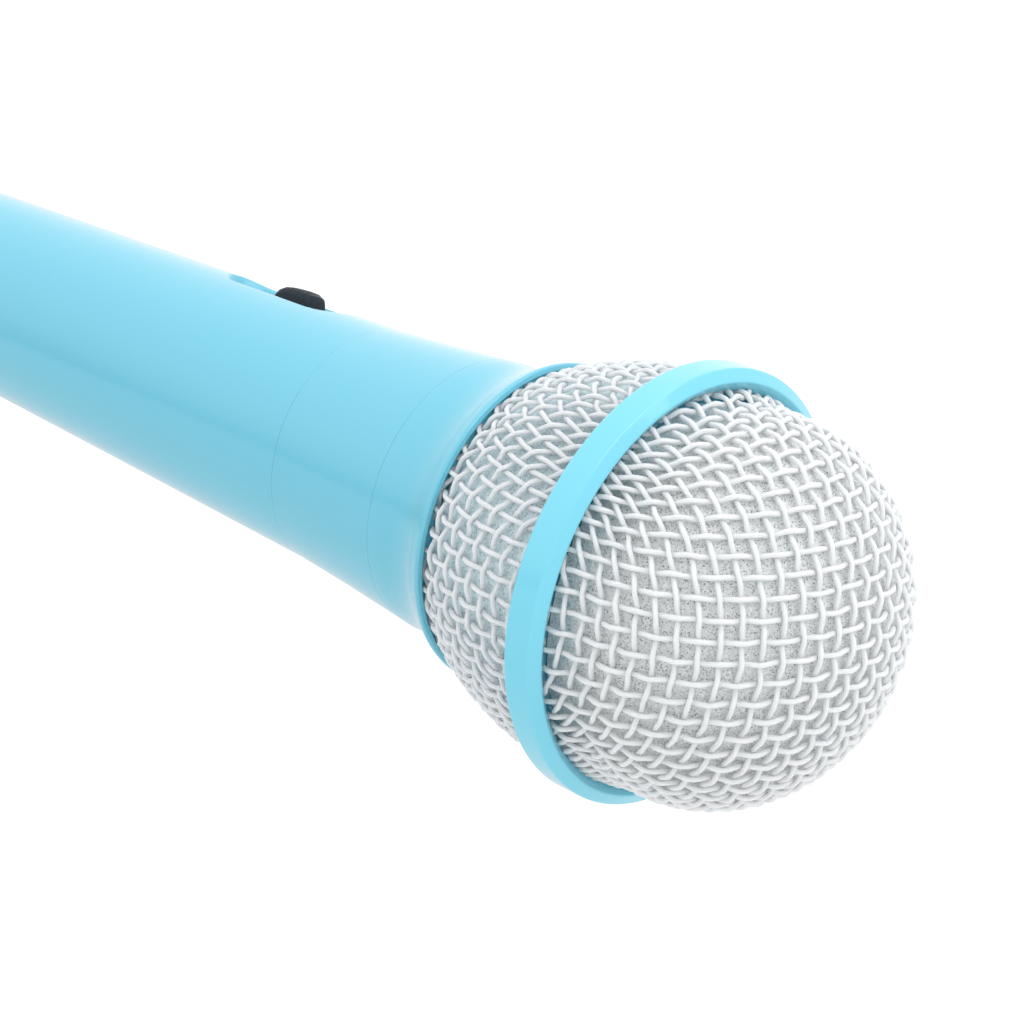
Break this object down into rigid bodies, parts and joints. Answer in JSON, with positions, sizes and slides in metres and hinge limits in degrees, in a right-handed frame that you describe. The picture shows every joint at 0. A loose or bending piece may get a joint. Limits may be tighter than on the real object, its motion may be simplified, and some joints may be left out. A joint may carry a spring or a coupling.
{
  "type": "toy microphone",
  "caption": "Toy hand-held microphone: tapering handle with a slide switch, flared neck and a ball-shaped woven wire grille with a band round it, over a moving-coil capsule.",
  "frame": {"origin": "centre of the flat tail face, on which the microphone stands", "axes": "+Z along the handle's axis towards the grille head, -Y towards the slide switch"},
  "size_m": [0.054, 0.054, 0.25],
  "materials": {
    "blue_plastic": "glossy light-blue moulded plastic",
    "black_plastic": "satin black moulded plastic",
    "white_mesh": "white coated woven steel wire",
    "grey_foam": "open-cell grey foam",
    "steel": "plated steel",
    "capsule_metal": "turned light metal",
    "brass": "sprung brass",
    "copper_wire": "enamelled copper winding",
    "magnet": "sintered magnet",
    "clear_film": "thin plastic film",
    "black_rubber": "soft black rubber",
    "white_nylon": "plain nylon",
    "brown_laminate": "pressed brown laminate",
    "red_sleeve": "red wire insulation",
    "black_sleeve": "black wire insulation",
    "yellow_sleeve": "yellow wire insulation"
  },
  "bodies": {
    "handle": {"handle_barrel": "blue_plastic", "neck_sleeve": "blue_plastic", "tail_cap": "blue_plastic", "switch_frame": "steel", "switch_base": "brown_laminate", "switch_pin_1": "brass", "switch_pin_2": "brass", "switch_pin_3": "brass", "switch_screw_1": "steel", "switch_screw_2": "steel", "capsule_case": "capsule_metal", "capsule_front_grid": "capsule_metal", "capsule_diaphragm": "clear_film", "capsule_voice_coil": "copper_wire", "capsule_pole_plate": "steel", "capsule_magnet": "magnet", "capsule_yoke": "steel", "capsule_chassis": "black_plastic", "capsule_terminal_board": "brown_laminate", "capsule_rubber_ring": "black_rubber", "capsule_lead": "red_sleeve", "socket_lead": "yellow_sleeve", "ground_lead": "black_sleeve", "ballast_weight": "steel", "socket_bush": "capsule_metal", "socket_body": "black_plastic", "socket_tip_spring": "brass", "socket_sleeve_spring": "brass"},
    "grille_head": {"grille_collar": "blue_plastic", "rear_basket_mesh": "white_mesh", "rear_foam": "grey_foam", "grille_ring": "blue_plastic", "mesh_seat_ring": "blue_plastic", "front_dome_mesh": "white_mesh", "front_foam": "grey_foam"},
    "switch": {"switch_knob": "black_plastic", "switch_slider": "white_nylon", "switch_contact": "brass"}
  },
  "joints": [
    {"name": "head_lift", "type": "slide", "parent": "handle", "child": "grille_head", "axis": [0, 0, 1], "range_m": [0, 0.04]},
    {"name": "switch_slide", "type": "slide", "parent": "handle", "child": "switch", "axis": [0, 0, 1], "range_m": [-0.003, 0]}
  ]
}
